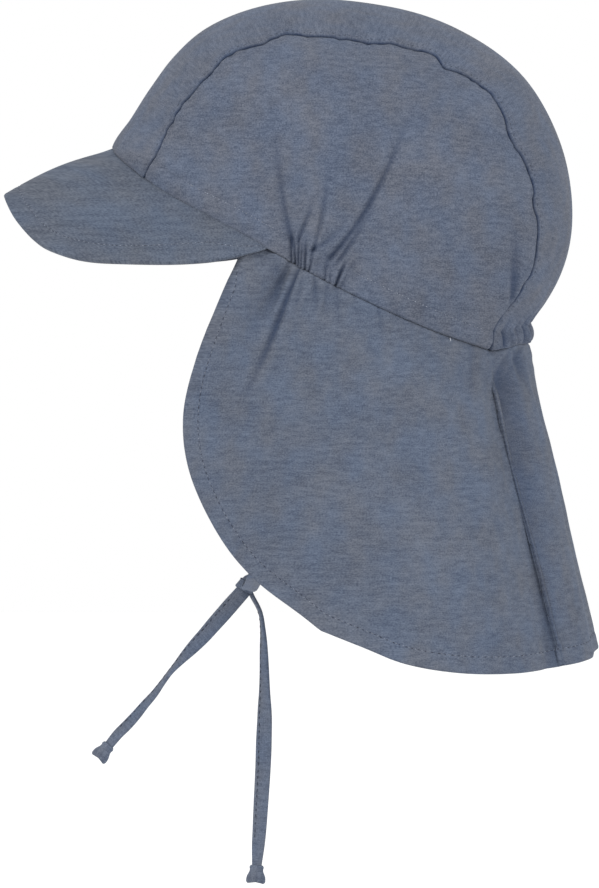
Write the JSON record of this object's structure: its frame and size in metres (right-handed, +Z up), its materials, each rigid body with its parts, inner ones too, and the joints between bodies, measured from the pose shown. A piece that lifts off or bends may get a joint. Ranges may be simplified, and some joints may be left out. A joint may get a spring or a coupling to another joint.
{
  "type": "legionnaire cap",
  "caption": "Soft sun cap with a rounded panelled crown, a curved peak, a wide neck flap gathered into an elastic band, and cloth chin ties in a half knot.",
  "frame": {"origin": "middle of the head opening on the plane of symmetry, on the band seam's line from brow to nape", "axes": "+Z up, the peak points along -Y, the flap's back edge lies along +Y, +X is the wearer's left"},
  "size_m": [0.1436, 0.2268, 0.3362],
  "materials": {
    "crown_cloth": "blue-grey chambray, plain weave, matt",
    "visor_cloth": "the same chambray over a stiffener, topstitched",
    "flap_cloth": "the same chambray, single layer, hemmed",
    "tie_cloth": "folded and edge-stitched chambray strip"
  },
  "bodies": {
    "root": {"crown_centre_panel": "crown_cloth", "crown_side_left": "crown_cloth", "crown_side_right": "crown_cloth", "sun_visor": "visor_cloth", "neck_flap": "flap_cloth", "tie_knot": "tie_cloth", "tie_root_left": "tie_cloth", "tie_root_right": "tie_cloth", "tie_tail_front": "tie_cloth", "tie_tail_back": "tie_cloth", "tie_tip_front": "tie_cloth", "tie_tip_back": "tie_cloth"}
  },
  "joints": []
}
